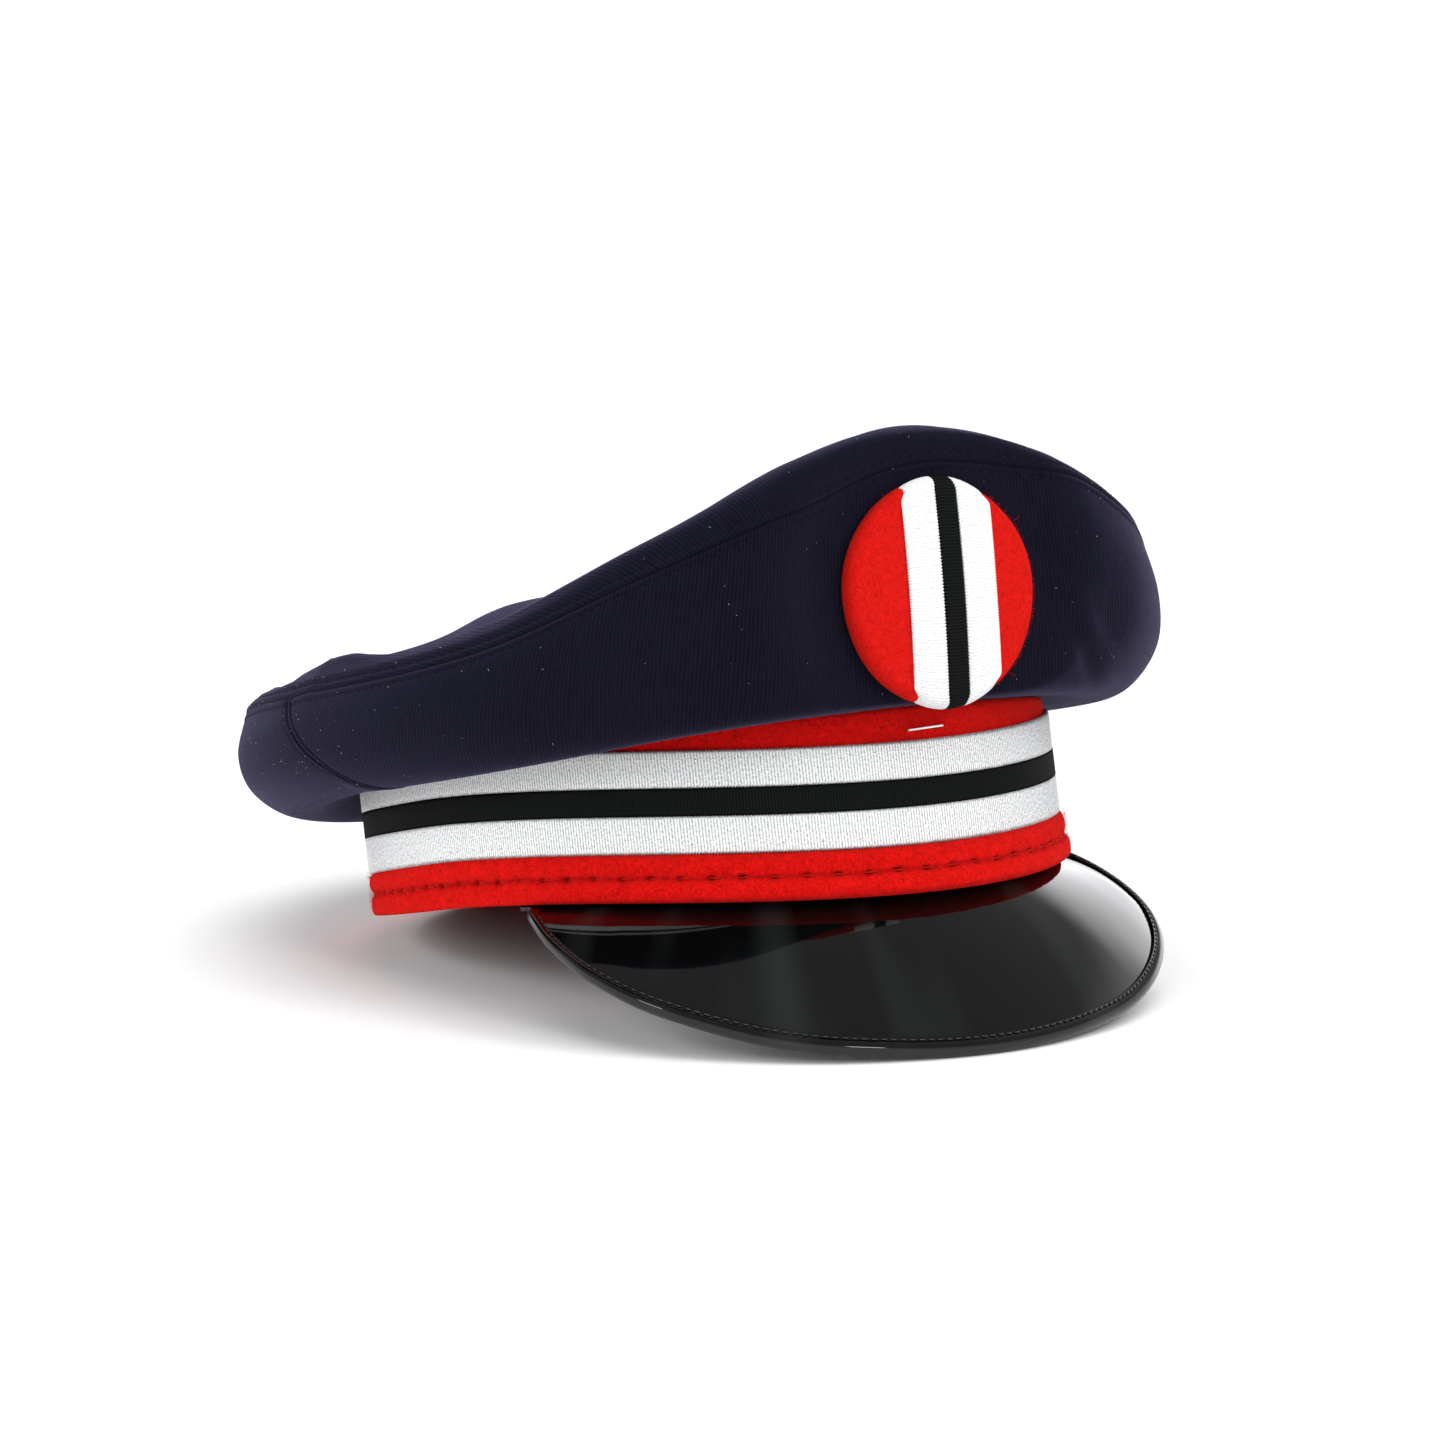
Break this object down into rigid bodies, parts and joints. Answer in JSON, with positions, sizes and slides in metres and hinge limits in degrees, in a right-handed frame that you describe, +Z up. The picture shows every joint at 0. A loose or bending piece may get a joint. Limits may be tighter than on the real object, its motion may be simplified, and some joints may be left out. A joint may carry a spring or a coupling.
{
  "type": "peaked_cap",
  "caption": "Soft peaked cap with a wide drooping crown, a felt band with a striped ribbon, a round striped badge and a steep glossy visor.",
  "frame": {"origin": "middle of the bottom of the cap's bounding box, on the surface that it rests on", "axes": "+Z up, -Y to the cap's front, +X to the wearer's left"},
  "size_m": [0.2366, 0.2786, 0.153],
  "materials": {
    "navy_twill": "matt ribbed twill",
    "band_felt": "matt wool felt",
    "badge_felt": "matt wool felt",
    "white_grosgrain": "satin ribbed ribbon",
    "black_grosgrain": "satin ribbed ribbon",
    "patent": "patent gloss",
    "bright_wire": "bright"
  },
  "bodies": {
    "root": {"band_felt": "band_felt", "ribbon_white_lower": "white_grosgrain", "ribbon_black": "black_grosgrain", "ribbon_white_upper": "white_grosgrain", "crown_top": "navy_twill", "crown_front_side": "navy_twill", "crown_back": "navy_twill", "visor": "patent", "visor_binding": "patent", "badge_disc": "badge_felt", "badge_white_right": "white_grosgrain", "badge_black": "black_grosgrain", "badge_white_left": "white_grosgrain", "staple": "bright_wire"}
  },
  "joints": []
}
